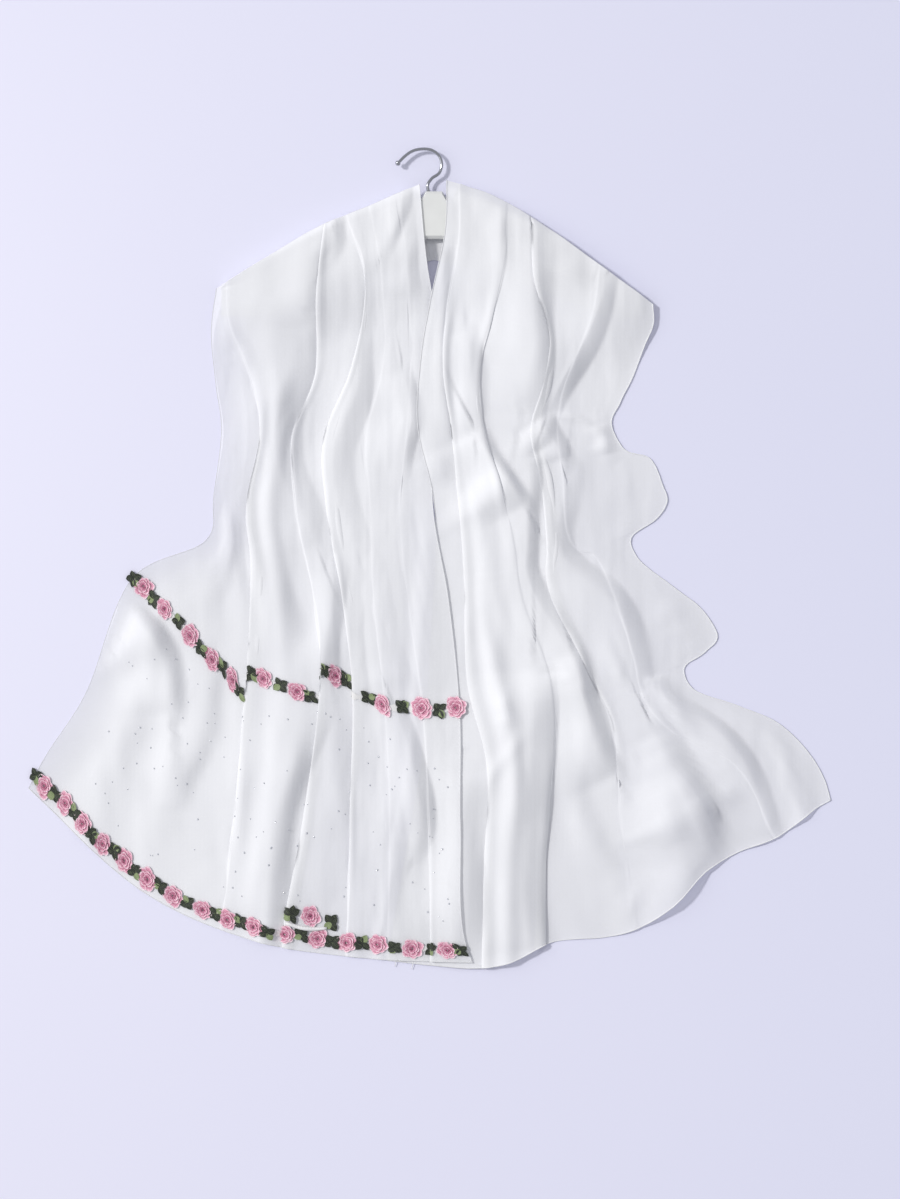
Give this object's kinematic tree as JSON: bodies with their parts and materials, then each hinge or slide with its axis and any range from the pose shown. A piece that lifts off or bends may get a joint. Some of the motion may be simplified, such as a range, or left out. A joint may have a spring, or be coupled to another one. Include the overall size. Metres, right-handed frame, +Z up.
{
  "type": "hijab scarf on a clothes hanger",
  "caption": "Long sheer white chiffon scarf with lace rose and leaf trim on one end, draped over a clothes hanger and laid flat.",
  "frame": {"origin": "centre of the bounding box in plan, on the surface that the scarf lies on", "axes": "+Z up from the surface towards the viewer, +Y towards the hanger's hook, +X to the plain end's side"},
  "size_m": [0.882, 0.9016, 0.031],
  "materials": {
    "chiffon": "matte",
    "lace": "matte",
    "hanger_plastic": "satin",
    "hook_chrome": "polished"
  },
  "bodies": {
    "root": {"back_stretch": "chiffon", "left_stretch": "chiffon", "right_stretch": "chiffon", "upper_trim": "lace", "lower_trim": "lace", "hanger_body": "hanger_plastic", "hanger_hook": "hook_chrome"}
  },
  "joints": []
}
